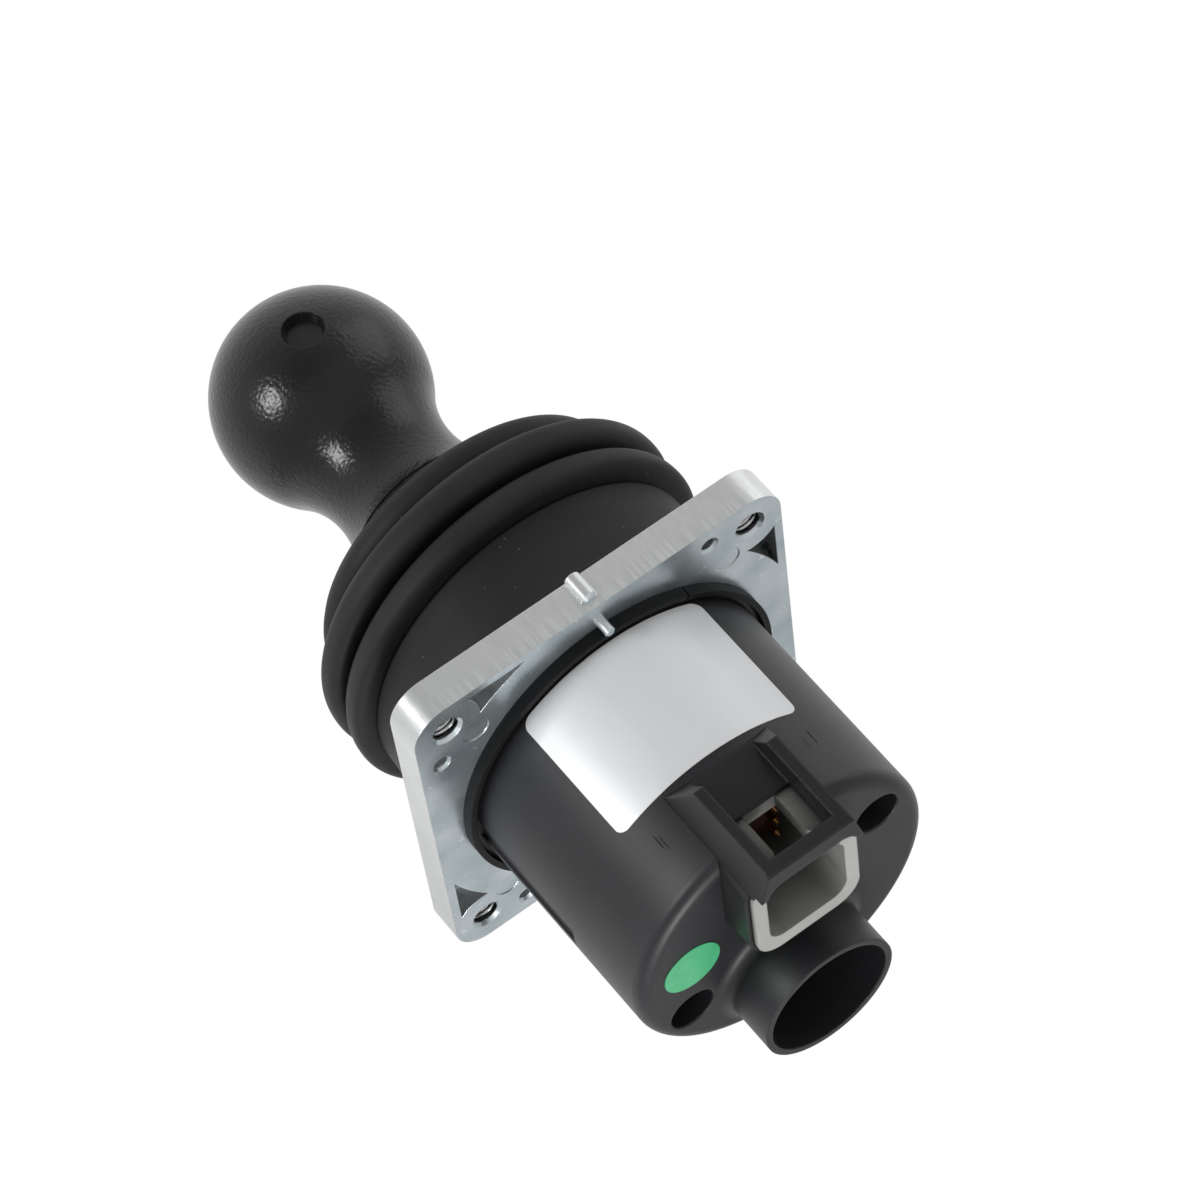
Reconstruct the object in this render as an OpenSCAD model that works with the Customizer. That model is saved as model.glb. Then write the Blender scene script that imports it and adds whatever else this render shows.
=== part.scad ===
// Panel-mounted two-axis joystick with a ball knob, rubber boot, die-cast plate and plugged rear housing.
// Millimetres. Origin: centre of the plate's front face. +Z runs up the lever to the knob.
// -Y is the side of the rear connector, the plate's index rib and the knob's recess.

/* [Mounting plate] */
// Side of the square plate
plate_side = 76.2; // [75.5:0.1:82]
// Thickness of the plate
plate_t = 7; // [6.5:0.1:8.5]
// Radius of the plate's corners
plate_corner_r = 6.6; // [5:0.1:9]
// Distance of a panel screw hole from the plate's edges
panel_edge = 6.6; // [6:0.1:7]
// Radius of a tapped panel screw hole
panel_hole_r = 2.5; // [2:0.05:2.8]
// Radius of the countersink round a panel screw hole
panel_sink_r = 3.1; // [3:0.1:4]
// Radius of the metal left round a panel screw hole
panel_boss_r = 6.7; // [5.5:0.1:7]
// Radius of the solid metal round the housing
rim_boss_r = 39.3; // [38:0.1:40]
// Wall between a corner pocket and the plate's edge
pocket_wall = 1.7; // [1.5:0.1:3]
// Depth of a corner pocket
pocket_depth = 4.5; // [2:0.1:5]
// How far a corner pocket reaches in from the wall at the plate's edge
pocket_reach = 7; // [5:0.5:8]
// Radius of the small blind hole beside each panel screw hole
tooling_hole_r = 1.3; // [1:0.1:1.6]
// Depth of the small blind hole
tooling_hole_depth = 4; // [2:0.5:5]
// Width of the broken edge at the small blind hole's mouth
tooling_break = 0.5; // [0.2:0.1:0.8]
// Distance of the small blind hole from the plate's edge
tooling_edge = 4.4; // [4:0.1:5]
// Distance of the small blind hole from the panel screw hole, along the edge
tooling_step = 8.4; // [8:0.1:9]
// Radius of a round ejector mark
ejector_r = 2.6; // [2:0.1:3]
// Depth of a round ejector mark
ejector_depth = 0.15; // [0.1:0.05:0.3]
// Distance of an ejector mark from the panel screw hole, along both edges
ejector_step = 5.2; // [4.8:0.1:6]
// Radius of the raised neck that carries the boot
spigot_r = 31.5; // [31:0.1:32]
// Height of the raised neck
spigot_h = 5; // [4.5:0.1:6]
// Radius of the low seat under the boot's foot
boot_seat_r = 37.6; // [37.5:0.1:37.8]
// Height of the low seat
boot_seat_h = 0.2; // [0.1:0.05:0.25]
// Radius of the bore that takes the gimbal carrier
plate_bore_r = 16.6; // [16.4:0.1:18]
// Radius of the index rib on the plate's side face
rib_r = 1.6; // [1.2:0.1:2]
// Length of the index rib
rib_len = 5.5; // [4:0.1:6]
// Width of the broken edge at the index rib's end
rib_break = 0.6; // [0.2:0.1:1]
// Radius of the index peg behind the plate
peg_r = 1; // [0.8:0.1:1.1]
// Width of the broken edge at the index peg's end
peg_break = 0.3; // [0.1:0.1:0.5]
// Length of the index peg
peg_len = 3.4; // [2.5:0.1:4]
// Distance of the index peg from the lever's axis
peg_place = 34; // [33.8:0.1:34.5]

/* [Lever motion] */
// Height of the lever's pivot from the plate's front face
pivot_z = -2; // [-2.4:0.1:-1.8]
// Largest tilt about either axis, in degrees
tilt_max = 18; // [14:1:18]
// Radius of the gimbal pins
pin_r = 2; // [1.8:0.05:2.1]
// Running gap between a pin and its bush
pin_gap = 0.05; // [0.02:0.01:0.08]
// Wall of a gimbal bush
bush_wall = 1; // [0.8:0.1:1.1]
// Outer radius of the gimbal ring
ring_r = 13; // [12.6:0.1:13.2]
// Inner radius of the gimbal ring
ring_bore_r = 8.5; // [8.3:0.1:8.8]
// Height of the gimbal ring
ring_h = 7; // [6.5:0.1:7.4]
// Radius of the lever's boss at the pivot
boss_r = 6; // [5.6:0.1:6.2]
// Radius of the lever above its boss
lever_r = 4.5; // [4:0.1:5]
// Radius of the lever below its boss
lever_tail_r = 3; // [2.6:0.1:3]
// Length of the lever's boss above the pivot
boss_up = 7; // [5:0.1:8]
// Length of the lever's boss below the pivot
boss_down = 5; // [4:0.1:5.2]
// Height of the lever's top end
lever_top_z = 74; // [70:0.5:78]

/* [Screws] */
// Radius of a screw that holds the housing
rear_screw_r = 1.6; // [1.4:0.1:1.8]
// Length of that screw under its head
rear_screw_len = 10; // [8:0.5:11]
// Radius of that screw's head
rear_head_r = 3.4; // [3:0.1:3.6]
// Height of that screw's head
rear_head_h = 3.2; // [2.4:0.1:3.4]
// Depth of the tapped hole for that screw
tapped_depth = 9; // [8:0.5:9.5]
// Radius of a screw that holds the gimbal carrier
carrier_screw_r = 1.2; // [1:0.1:1.4]
// Length of that screw under its head
carrier_screw_len = 6; // [5:0.5:6.5]
// Radius of that screw's head
carrier_head_r = 2.4; // [2.2:0.1:2.6]
// Height of that screw's head
carrier_head_h = 2.4; // [2:0.1:2.6]
// Radius of a screw that holds the gate plate
gate_screw_r = 0.75; // [0.6:0.05:0.8]
// Length of that screw under its head
gate_screw_len = 4.5; // [3.5:0.5:5]
// Radius of that screw's head
gate_head_r = 1.5; // [1.2:0.1:1.6]
// Height of that screw's head
gate_head_h = 1; // [0.8:0.1:1.2]
// Room between a screw's core and a tapped hole
thread_room = 0.05; // [0.03:0.01:0.1]
// Room between a screw and a plain hole
screw_room = 0.4; // [0.3:0.1:0.6]
// Radius of a screw head on the sensor board
board_head_r = 1.6; // [1.4:0.1:1.8]
// Height of a screw head on the sensor board
board_head_h = 1.1; // [0.9:0.1:1.3]

/* [Centring] */
// Radius of the round dish that the centring cup rocks in
dish_r = 14.8; // [14.6:0.1:15]
// Gap between the cup and the dish
dish_gap = 0.3; // [0.2:0.05:0.4]
// Thickness of the cup's wall
cup_wall = 1.8; // [1.4:0.1:2]
// Half angle of the cup seen from the pivot, in degrees
cup_angle = 51; // [48:1:52]
// Outer radius of the cup's sleeve
cup_sleeve_r = 4.2; // [4:0.1:4.4]
// Sliding gap between the cup and the lever
cup_gap = 0.06; // [0.03:0.01:0.1]
// Radius of the centring spring, to the middle of its wire
spring_r = 5.4; // [5.1:0.1:5.6]
// Radius of the spring's wire
spring_wire_r = 0.5; // [0.4:0.05:0.6]
// Number of turns of the spring
spring_turns = 3; // [2:0.5:3]
// Thickness of the washer above the spring
washer_t = 0.8; // [0.6:0.1:1]

/* [Gimbal carrier] */
// Outer radius of the carrier's drum
carrier_r = 16.4; // [16.2:0.05:16.5]
// Depth of the drum's flat end below the pivot
carrier_depth = 15.6; // [15.3:0.1:16]
// Radius of the carrier's flange
flange_r = 19; // [18.6:0.1:19.1]
// Thickness of the flange
flange_t = 2; // [1.6:0.1:2.4]
// Distance of the carrier's screws from the lever's axis
carrier_screw_place = 20.4; // [20:0.1:21]
// Direction of the first carrier screw, in degrees from +X
carrier_screw_angle = 62; // [55:1:70]
// Radius of the ear round a carrier screw
carrier_ear_r = 3.6; // [3.4:0.1:4]
// Thickness of the steel gate plate
gate_t = 1.5; // [1.2:0.1:1.8]
// Gap between the lever and the gate at full tilt
gate_gap = 0.3; // [0.2:0.05:0.5]
// Radius of the gate plate
gate_r = 15.4; // [15:0.1:16]
// Distance of the gate screws from the lever's axis
gate_screw_place = 12.4; // [12:0.1:12.8]

/* [Housing] */
// Outer radius of the housing
barrel_r = 30; // [30:0.1:30.4]
// Wall of the housing
barrel_wall = 2.5; // [2:0.1:2.8]
// Length from the plate's front face to the housing's rear face
housing_depth = 54.4; // [53:0.1:57]
// Thickness of the rear wall
rear_wall = 3; // [2.4:0.1:3.6]
// Rounding of the rear edge
rear_round = 2.5; // [1.5:0.1:3]
// Outer radius of the split band at the plate
band_r = 32.2; // [32:0.1:32.8]
// Width of the groove between the band and the barrel
band_groove = 1; // [0.6:0.1:1.2]
// Height of the split band
band_h = 2.3; // [1.8:0.1:2.8]
// Height of the housing's foot flange inside the band
foot_h = 0.9; // [0.6:0.1:1.2]
// Gap in the split band, in degrees
band_split = 0.6; // [0.4:0.1:3]
// Direction of the band's split, in degrees from -Y towards +X
band_split_at = 31; // [28:1:45]
// Distance of the rear screws from the lever's axis
rear_screw_place = 22.8; // [22.6:0.1:23]
// Direction of the first rear screw, in degrees from +X
rear_screw_angle = 152.3; // [150:0.1:155]
// Radius of the deep recess over a rear screw
recess_r = 4.4; // [4:0.1:4.5]
// Wall round a rear screw recess
recess_wall = 1.4; // [1.2:0.1:1.5]
// Distance from the plate's front face to the seat of a rear screw's head
recess_seat = 16.5; // [16:0.1:18]
// Distance from the plate's front face to the bottom of the wide part of a rear recess
recess_step = 20.6; // [20:0.1:22]
// Room between a rear screw's head and its narrow seat
head_room = 0.5; // [0.3:0.1:0.7]
// Distance from the plate's front face to the end of the plate's rear posts
post_end = 13.2; // [13:0.1:13.6]
// Radius of the plate's rear posts
post_r = 3.7; // [3.4:0.1:3.8]
// Wall between the housing's cavity and its seal groove
seal_inset = 0.6; // [0.5:0.1:0.8]
// Width of the seal groove
seal_w = 1.1; // [0.9:0.1:1.2]
// Depth of the seal groove
seal_h = 1.5; // [1.2:0.1:2]
// Width of the shallow keyway along the housing's -X side
keyway_w = 5; // [3:0.5:8]
// Depth of the keyway
keyway_depth = 0.7; // [0.4:0.1:1]
// Distance from the plate's front face to the keyway's end
keyway_end = 35.3; // [25:0.1:45]

// Width of the broken edge at a recess's mouth
edge_break = 0.25; // [0.1:0.05:0.5]

/* [Cable tube] */
// Outer radius of the rear tube
tube_r = 13.4; // [13:0.1:13.6]
// Wall of the rear tube
tube_wall = 1.3; // [1:0.1:1.8]
// Distance of the tube's axis from the lever's axis
tube_place = 14.1; // [14:0.1:14.3]
// Distance from the plate's front face to the tube's end
tube_end = 65.6; // [62:0.1:70]
// Distance from the plate's front face to the tube's floor
tube_floor = 39; // [38.5:0.1:44]
// Thickness of the tube's floor
tube_floor_t = 1.6; // [1.2:0.1:2]
// Rounding where the tube meets the rear face
tube_fillet = 2.4; // [1:0.1:2.8]

/* [Connector] */
// Distance of the connector's middle from the lever's axis
plug_place = 18; // [17.8:0.1:18.2]
// Outer width of the connector body
plug_w = 21.2; // [20.6:0.1:21.6]
// Outer height of the connector body
plug_h = 23.2; // [23:0.1:23.4]
// Width of the connector's socket
socket_w = 16; // [15:0.1:16.4]
// Height of the connector's socket
socket_h = 16.6; // [16:0.1:17]
// Outer corner radius of the connector body
plug_corner_r = 5; // [2.5:0.1:5.4]
// Inner corner radius of the connector's socket
socket_corner_r = 3.2; // [1:0.1:3.6]
// Distance from the plate's front face to the connector's mouth
plug_mouth = 62; // [61:0.1:63]
// Distance from the plate's front face to the connector's inner end
plug_back = 40.6; // [40:0.1:41]
// Distance from the plate's front face to the socket's floor
socket_floor = 43.5; // [43:0.1:44]
// Wall of the housing's sleeve round the connector
sleeve_wall = 0.75; // [0.6:0.05:0.9]
// Gap between the connector body and the sleeve
sleeve_gap = 0.1; // [0.05:0.05:0.2]
// Distance from the plate's front face to the sleeve's end
sleeve_end = 61; // [60:0.1:61.4]
// Half width of the latch window through the connector's top wall
window_half = 3.3; // [3:0.1:4]
// Distance from the plate's front face to the window's near end
window_near = 50; // [49.5:0.1:51]
// Distance from the plate's front face to the window's far end
window_far = 59.1; // [57.5:0.1:59.6]
// Radius of a contact pin
contact_r = 0.75; // [0.6:0.05:0.9]
// Spacing of the contact pins along the connector's height
contact_pitch = 4.1; // [3.8:0.1:4.4]
// Half the distance between the two columns of contact pins
contact_column = 4.1; // [3.6:0.1:4.5]
// Distance from the plate's front face to the contact pins' tips
contact_tip = 49; // [48:0.1:49.3]
// Thickness of the terminal lock on the socket's floor
lock_t = 2.2; // [1.6:0.1:2.6]

/* [Latch guard] */
// Distance of the guard rails' crest from the lever's axis
rail_crest = 35.5; // [35:0.1:36]
// Half the gap between the guard rails
rail_half_gap = 6.4; // [6.2:0.1:6.6]
// Half the width across the rails' crests
rail_crest_half = 8.6; // [8.4:0.1:9]
// Half the width across the rails' feet
rail_foot_half = 10.7; // [10.6:0.05:10.7]
// Distance of the rails' feet from the lever's axis
rail_foot = 27.9; // [27.6:0.1:28]
// Distance from the plate's front face to the rails' ends
rail_end = 64.5; // [64:0.1:66]
// Distance from the plate's front face to the start of the rails' crests
rail_start = 44.3; // [43:0.1:46]
// Length of the ramp up to the rails' crests
rail_ramp = 6; // [4:0.1:8]
// Distance from the lever's axis to the tips of the guard's legs
leg_tip = 28.6; // [28.2:0.1:29]
// Half the clear width under the bridge, at the guard's end
bridge_half = 9.2; // [8:0.1:9.4]
// Corner radius under the bridge
bridge_corner_r = 3.5; // [2:0.1:4]
// Width of the bridge between the rails
bridge_w = 2.6; // [2.4:0.1:4]
// Width of the broken edge along the bridge's outer corner
bridge_break = 0.5; // [0.2:0.1:0.8]
// Height of the bridge
bridge_h = 4.2; // [3.8:0.1:4.2]

/* [Sensor board] */
// Distance from the plate's front face to the board's upper face
board_top = 33.5; // [33.2:0.1:34]
// Thickness of the board
board_t = 1.6; // [1.2:0.1:1.8]
// Gap between the board and the housing's wall
board_gap = 0.5; // [0.3:0.1:0.8]
// Distance of the sensors from the lever's axis
sensor_place = 6; // [5:0.5:8]
// Width of a sensor
sensor_w = 3; // [2:0.1:4]
// Height of a sensor
sensor_t = 0.8; // [0.6:0.1:1]
// Width of a chip
chip_side = 5.5; // [4:0.5:7]
// Height of a chip
chip_t = 1.2; // [0.8:0.1:1.5]
// Radius of the magnet
magnet_r = 4; // [3:0.1:4.2]
// Thickness of the magnet
magnet_t = 2.2; // [1.5:0.1:2.6]
// Radius of the magnet holder
holder_r = 5.5; // [5.2:0.1:5.6]
// Distance from the pivot to the magnet holder's upper face
holder_near = 22.2; // [22:0.1:22.6]
// Length of the magnet holder
holder_len = 6.2; // [5.6:0.1:6.4]

/* [Knob] */
// Radius of the ball
ball_r = 20.5; // [18:0.1:22]
// Height of the ball's middle
ball_z = 82; // [80:0.1:86]
// Radius of the knob's waist
waist_r = 13.1; // [11:0.1:14]
// Height of the waist
waist_z = 58.6; // [57:0.1:60]
// Height of the knob's lower face
knob_base_z = 43; // [42.6:0.1:44]
// Largest radius of the flare at the knob's foot
knob_foot_r = 20.2; // [18:0.1:20.4]
// Radius of the round recess in the ball, at its mouth
dimple_r = 4.2; // [3.8:0.1:4.5]
// Radius of the plug on the recess's floor
dimple_floor_r = 3.4; // [2.8:0.1:3.6]
// Depth of the pocket for the recess's plug
dimple_depth = 5; // [3.5:0.1:5.5]
// How far the plug lies below the ball's surface
dimple_sink = 2.2; // [1:0.1:2.6]
// Upward slant of the recess, in degrees
dimple_lift = 3.5; // [0:0.5:15]
// Radius of the threaded insert
insert_r = 7; // [6:0.1:7.5]
// Height of the insert's lower end
insert_z = 50; // [48:0.5:54]

/* [Boot] */
// Thickness of the rubber
boot_wall = 1.6; // [1.2:0.1:2]
// Outer radius of the skirt
skirt_r = 34.5; // [34:0.1:35.5]
// Outer radius of the boot's foot flange
foot_flange_r = 37.2; // [36.5:0.1:37.4]
// Thickness of the foot flange
foot_flange_t = 1.6; // [1.2:0.1:2]
// Gap between rubber and its seats
rubber_gap = 0.3; // [0.2:0.05:0.4]
// Radius of the large folds, to the middle of their rounding: lowest, middle, top
fold_place = [33.4, 31.6, 28];
// Height of the middle of each fold
fold_z = [18.6, 29, 36];
// Rounding radius of each fold
fold_r = [4.2, 4, 3.5];
// Radius of the collar that the boot's neck grips
collar_r = 14; // [13:0.1:15]
// Depth of the collar's groove
collar_groove = 1.8; // [1.2:0.1:2.2]
// Height of the collar's lower face
collar_z = 34.6; // [34:0.1:35.4]
// Height of the boot's neck
neck_z = 37; // [36.8:0.1:37.4]
// Width of the boot's neck, along the lever
neck_h = 3.4; // [3:0.1:3.6]
// Distance across the lock nut's flats
nut_flats = 13; // [12:0.5:14]
// Height of the lock nut
nut_h = 5; // [4:0.1:6]

/* [Labels] */
// Width of the label, along the barrel's curve, in degrees
label_angle = 76; // [60:1:80]
// Turn of the label's middle from -Y, in degrees, towards -X
label_turn = 1.3; // [0:0.1:4]
// Height of the label
label_h = 27.9; // [24:0.1:30]
// Distance from the plate's front face to the label
label_start = 9.4; // [9.3:0.1:12]
// Corner radius of the label
label_corner = 1.8; // [1:0.1:3]
// Thickness of the labels
label_t = 0.15; // [0.1:0.01:0.25]
// Radius of the round inspection sticker
sticker_r = 5.7; // [5:0.1:6]
// Distance of the sticker's middle from the housing's edge
sticker_edge = 10.5; // [9.5:0.1:12]
// Direction of the sticker, in degrees from +X
sticker_angle = 189.8; // [185:0.2:195]

/* [Hidden] */
$fn = 96;
// Overlap that keeps cut faces from coinciding
cut = 1;
panel_pitch = plate_side - 2 * panel_edge;
rear_z = -housing_depth;
plate_rear = -plate_t;
cavity_r = barrel_r - barrel_wall;
recess_outer = recess_r + recess_wall;
bush_bore = pin_r + pin_gap;
bush_r = bush_bore + bush_wall;
carrier_bottom = pivot_z - carrier_depth;
gate_bottom = carrier_depth + gate_t;
// The gate clears the round lever at its largest tilt about both axes together
gate_half = gate_bottom * tan(tilt_max) / cos(tilt_max) + lever_tail_r / cos(tilt_max) + gate_gap;
gate_corner = lever_tail_r - 0.4;
carrier_flange_z = plate_rear - flange_t;
cup_r = dish_r - dish_gap;
cup_inner = cup_r - cup_wall;
washer_z = pivot_z - boss_down - washer_t;
spring_foot_z = pivot_z - sqrt(cup_inner * cup_inner - (spring_r + spring_wire_r) * (spring_r + spring_wire_r));
tail_end_z = pivot_z - holder_near - holder_len + magnet_t + 0.6;
tube_bore = tube_r - tube_wall;
board_under = board_top + board_t;
board_r = cavity_r - board_gap;
sleeve_top = plug_place + plug_h / 2 + sleeve_gap + sleeve_wall;
sleeve_start = -plug_back + sleeve_wall;
plug_top = plug_place + plug_h / 2;
// Concave rounding between waist and ball touches the ball
neck_round = (waist_r * waist_r + (ball_z - waist_z) * (ball_z - waist_z) - ball_r * ball_r)
             / (2 * (ball_r - waist_r));
dimple_flare = (dimple_r - dimple_floor_r) / dimple_sink;
groove_r = collar_r - collar_groove;
cup_black = [0.09, 0.09, 0.1];
rubber_black = [0.06, 0.06, 0.065];
zinc = [0.72, 0.73, 0.73];
steel = [0.62, 0.63, 0.65];
brass = [0.78, 0.62, 0.3];

// Places a child at each corner of the plate, turning it with the corner
module each_corner() {
    for (turn = [0:90:270])
        rotate([0, 0, turn]) children();
}

// Places a child at one place and at the opposite place across the axis
module opposite_pair(place, angle) {
    for (turn = [0, 180])
        rotate([0, 0, angle + turn]) translate([place, 0, 0]) children();
}

// A flat rounded rectangle, centred
module rounded_rect(w, h, r) {
    square([w - 2 * r, h], center = true);
    square([w, h - 2 * r], center = true);
    for (x = [-1, 1], y = [-1, 1])
        translate([x * (w / 2 - r), y * (h / 2 - r)]) circle(r);
}

// A straight tube with its lower face at z
module tube(outer, inner, z, h) {
    translate([0, 0, z]) difference() {
        cylinder(r = outer, h = h);
        translate([0, 0, -cut]) cylinder(r = inner, h = h + 2 * cut);
    }
}

// A socket-head screw along Z: head above z = 0, shank below
module cap_screw(shank_r, shank_len, head_r, head_h) {
    translate([0, 0, -shank_len]) cylinder(r = shank_r, h = shank_len);
    difference() {
        cylinder(r = head_r, h = head_h);
        translate([0, 0, head_h * 0.45]) cylinder(r = head_r * 0.47, h = head_h, $fn = 6);
    }
}

module mounting_plate() {
    color(zinc) difference() {
        union() {
            translate([0, 0, plate_rear]) linear_extrude(plate_t)
                rounded_rect(plate_side, plate_side, plate_corner_r);
            cylinder(r = spigot_r, h = spigot_h);
            cylinder(r = boot_seat_r, h = boot_seat_h);
            // index rib and index peg
            translate([0, -plate_side / 2, 0]) stub(rib_r, rib_len, rib_break);
            translate([0, -peg_place, plate_rear + cut]) stub(peg_r, peg_len + cut, peg_break);
            // posts that the housing's screws enter
            opposite_pair(rear_screw_place, rear_screw_angle)
                translate([0, 0, -post_end]) cylinder(r = post_r, h = post_end - plate_t / 2);
        }
        // groove for the boot's bead
        tube(spigot_r + cut, spigot_r - 1.2, foot_flange_t + rubber_gap, 2.4);
        translate([0, 0, plate_rear - cut]) cylinder(r = plate_bore_r, h = plate_t + spigot_h + 2 * cut);
        each_corner() {
            translate([-panel_pitch / 2, -panel_pitch / 2, plate_rear - cut])
                cylinder(r = panel_hole_r, h = plate_t + 2 * cut);
            translate([-panel_pitch / 2, -panel_pitch / 2, plate_rear])
                sink(panel_hole_r, panel_sink_r - panel_hole_r);
            translate([tooling_edge - plate_side / 2, tooling_step - panel_pitch / 2, plate_rear]) {
                translate([0, 0, -cut]) cylinder(r = tooling_hole_r, h = tooling_hole_depth + cut);
                sink(tooling_hole_r, tooling_break);
            }
            translate([ejector_step - panel_pitch / 2, ejector_step - panel_pitch / 2, plate_rear - cut])
                cylinder(r = ejector_r, h = ejector_depth + cut);
            corner_pocket();
        }
        // tapped holes for the housing's and the carrier's screws
        opposite_pair(rear_screw_place, rear_screw_angle)
            translate([0, 0, -post_end - cut])
                cylinder(r = rear_screw_r + thread_room, h = tapped_depth + cut);
        opposite_pair(carrier_screw_place, carrier_screw_angle)
            translate([0, 0, plate_rear - cut])
                cylinder(r = carrier_screw_r + thread_room, h = carrier_screw_len - flange_t + 1 + cut);
    }
}

// Cone that breaks a hole's edge at z = 0
module sink(hole_r, width) {
    translate([0, 0, -cut]) cylinder(r1 = hole_r + width + cut, r2 = hole_r + width, h = cut);
    cylinder(r1 = hole_r + width, r2 = hole_r, h = width);
}

// Round bar standing down from z = 0, with a broken edge at its end
module stub(r, length, width) {
    translate([0, 0, width - length]) cylinder(r = r, h = length - width);
    translate([0, 0, -length]) cylinder(r1 = r - width, r2 = r, h = width);
}

// Three-sided pocket between the rim's metal, a screw boss and the edge
module corner_pocket() {
    edge = plate_side / 2 - pocket_wall;
    translate([0, 0, plate_rear - cut]) linear_extrude(pocket_depth + cut) difference() {
        translate([-panel_pitch / 2, -edge]) square([panel_pitch / 2, pocket_reach]);
        circle(rim_boss_r);
        translate([-panel_pitch / 2, -panel_pitch / 2]) circle(panel_boss_r);
    }
}

module gimbal_carrier() {
    color(cup_black) difference() {
        union() {
            // the drum's seams are turned away from the pin bores
            rotate([0, 0, 25]) rotate_extrude() drum_outline();
            opposite_pair(carrier_screw_place, carrier_screw_angle)
                translate([0, 0, carrier_flange_z]) cylinder(r = carrier_ear_r, h = flange_t);
        }
        translate([0, 0, pivot_z]) rotate([0, 0, 25]) rotate_extrude() dish_outline();
        translate([0, 0, carrier_bottom - cut]) linear_extrude(carrier_depth)
            square(2 * gate_half + 0.8, center = true);
        // bores for the pivot pins
        translate([-carrier_r - cut, 0, pivot_z]) rotate([0, 90, 0])
            cylinder(r = pin_r, h = 2 * carrier_r + 2 * cut);
        opposite_pair(carrier_screw_place, carrier_screw_angle)
            translate([0, 0, carrier_flange_z - cut])
                cylinder(r = carrier_screw_r + screw_room, h = flange_t + 2 * cut);
        for (turn = [0:90:270])
            rotate([0, 0, turn]) translate([gate_screw_place, 0, carrier_bottom - cut])
                cylinder(r = gate_screw_r + thread_room, h = gate_screw_len - gate_t + 1 + cut);
    }
}

// Half outline of the carrier's drum and flange
module drum_outline() {
    translate([0, carrier_bottom]) square([carrier_r, spigot_h - carrier_bottom - 0.5]);
    translate([0, carrier_flange_z]) square([flange_r, flange_t]);
}

// Half outline of the carrier's bore: a round dish below the pins, straight above
module dish_outline() {
    lip = pin_r + 1;
    translate([0, -lip]) square([dish_r, lip + spigot_h - pivot_z + cut]);
    intersection() {
        circle(dish_r);
        translate([0, -dish_r]) square([dish_r, dish_r - lip + 0.01]);
    }
}

// Square hole that limits the lever
module gate_hole() {
    rounded_rect(2 * gate_half, 2 * gate_half, gate_corner);
}

module gate_plate() {
    color(steel) translate([0, 0, carrier_bottom - gate_t]) difference() {
        cylinder(r = gate_r, h = gate_t);
        translate([0, 0, -cut]) linear_extrude(gate_t + 2 * cut) gate_hole();
        for (turn = [0:90:270])
            rotate([0, 0, turn]) translate([gate_screw_place, 0, -cut])
                cylinder(r = gate_screw_r + screw_room / 2, h = gate_t + 2 * cut);
    }
}

module gate_screws() {
    color(steel) for (turn = [0:90:270])
        rotate([0, 0, turn]) translate([gate_screw_place, 0, carrier_bottom - gate_t])
            mirror([0, 0, 1]) cap_screw(gate_screw_r, gate_screw_len, gate_head_r, gate_head_h);
}

module carrier_screws() {
    color(steel) opposite_pair(carrier_screw_place, carrier_screw_angle)
        translate([0, 0, carrier_flange_z]) mirror([0, 0, 1])
            cap_screw(carrier_screw_r, carrier_screw_len, carrier_head_r, carrier_head_h);
}

module pivot_pins() {
    color(steel) for (side = [0, 180])
        rotate([0, 0, side]) translate([ring_bore_r + 0.3, 0, pivot_z]) rotate([0, 90, 0])
            cylinder(r = pin_r, h = carrier_r - ring_bore_r - 0.5);
}

module rim_band() {
    color(cup_black) difference() {
        tube(band_r, barrel_r + band_groove, plate_rear - band_h, band_h);
        rotate([0, 0, band_split_at - 90 - band_split / 2])
            translate([0, 0, plate_rear - band_h - cut])
                rotate_extrude(angle = band_split) translate([barrel_r - cut, 0])
                    square([band_r - barrel_r + 2 * cut, band_h + 2 * cut]);
    }
}

module housing_seal() {
    color([0.35, 0.16, 0.1])
        tube(cavity_r + seal_inset + seal_w - 0.1, cavity_r + seal_inset + 0.1, plate_rear - seal_h, seal_h);
}

// Half outline of the barrel as if solid, with its rounded rear edge
module barrel_solid() {
    translate([0, rear_z]) square([barrel_r - rear_round, housing_depth - plate_t]);
    translate([0, rear_z + rear_round]) square([barrel_r, housing_depth - plate_t - rear_round]);
    translate([barrel_r - rear_round, rear_z + rear_round]) circle(rear_round);
}

// Half outline of the housing's barrel, turned about the axis
module barrel_outline() {
    difference() {
        union() {
            barrel_solid();
            translate([0, plate_rear - foot_h]) square([barrel_r + band_groove, foot_h]);
        }
        translate([-cut, rear_z + rear_wall]) square([cavity_r + cut, housing_depth]);
        // groove for the seal ring
        translate([cavity_r + seal_inset, plate_rear - seal_h]) square([seal_w, seal_h + cut]);
    }
}

// Cross-section of one guard rail, on the +X side, in the X-Y plane
module rail_section() {
    tuck = 0.6;
    polygon([[rail_half_gap, -rail_crest], [rail_crest_half, -rail_crest], [rail_foot_half, -rail_foot],
             [rail_foot_half, -rail_foot + tuck], [rail_half_gap, -rail_foot + tuck]]);
}

// Side outline of the latch guard, in the Y-Z plane: a ramp, then a straight crest
module guard_side() {
    ramp_z = -rail_start + rail_ramp;
    polygon([[-rail_crest, -rail_start], [-rail_crest, -rail_end], [-rail_foot + 1, -rail_end],
             [-rail_foot + 1, ramp_z], [-rail_foot - 0.5, ramp_z]]);
}

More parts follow.
